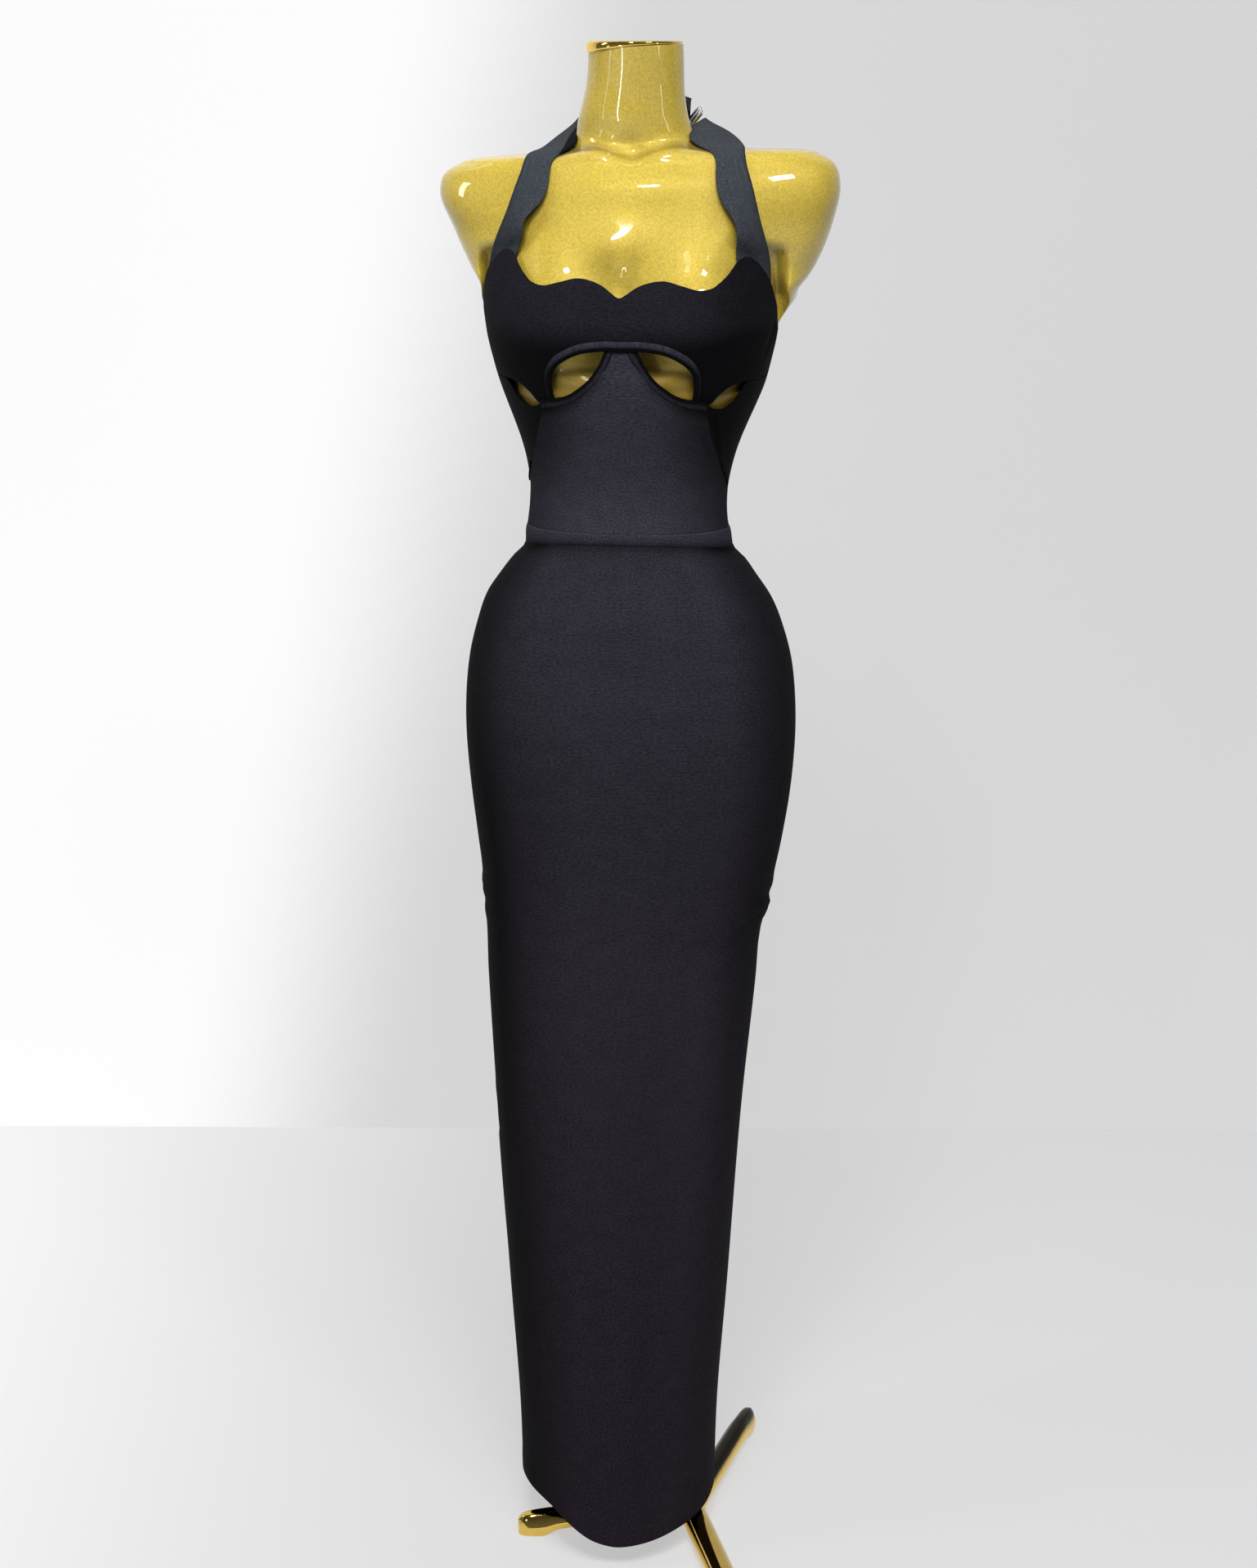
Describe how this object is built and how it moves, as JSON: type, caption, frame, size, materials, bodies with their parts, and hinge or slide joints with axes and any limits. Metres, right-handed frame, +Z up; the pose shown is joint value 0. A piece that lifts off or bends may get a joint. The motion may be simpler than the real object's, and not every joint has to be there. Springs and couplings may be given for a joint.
{
  "type": "halter bodycon dress on a limbless dress form and stand",
  "caption": "Halter-neck bodycon maxi dress with an under-bust arch and side cutouts, worn by a limbless dress form on a pole with a splayed floor stand.",
  "frame": {"origin": "on the floor under the middle of the whole part's bounding box", "axes": "+Z up; the dress faces -Y and the viewer's right is +X"},
  "size_m": [0.4016, 0.4227, 1.6085],
  "materials": {
    "bandage_knit": "heavy matt black bandage knit, faint horizontal ribs and a slight blue-violet cast",
    "zip_cloth": "black woven zip tape",
    "zip_coil": "black nylon coil",
    "silver_metal": "polished silver metal",
    "gold_paint": "glossy gold paint with fine metallic flake",
    "gold_chrome": "polished gold plating"
  },
  "bodies": {
    "dress_on_form": {"bust_band_front": "bandage_knit", "arch_binding": "bandage_knit", "midriff_front": "bandage_knit", "swoop_binding_left": "bandage_knit", "swoop_binding_right": "bandage_knit", "midriff_side_left": "bandage_knit", "midriff_side_right": "bandage_knit", "bodice_back_left": "bandage_knit", "bodice_back_right": "bandage_knit", "waistband_front": "bandage_knit", "waistband_back_left": "bandage_knit", "waistband_back_right": "bandage_knit", "skirt_front": "bandage_knit", "skirt_back_left": "bandage_knit", "skirt_back_right": "bandage_knit", "strap_left": "bandage_knit", "strap_right": "bandage_knit", "neck_clasp": "silver_metal", "zip_tape": "zip_cloth", "zip_chain": "zip_coil", "zip_slider": "silver_metal", "form_torso": "gold_paint", "neck_cap": "gold_chrome", "form_socket": "gold_chrome", "stand_pole": "gold_chrome", "stand_hub": "gold_chrome", "stand_arm_back": "gold_chrome", "stand_arm_left": "gold_chrome", "stand_arm_front": "gold_chrome"},
    "zip_pull": {"zip_pull": "silver_metal"}
  },
  "joints": [
    {"name": "zip_pull_hinge", "type": "hinge", "parent": "dress_on_form", "child": "zip_pull", "pos_m": [-0.0044, 0.12254, 1.3235], "axis": [1, 0, 0], "range_deg": [0, 165]}
  ]
}
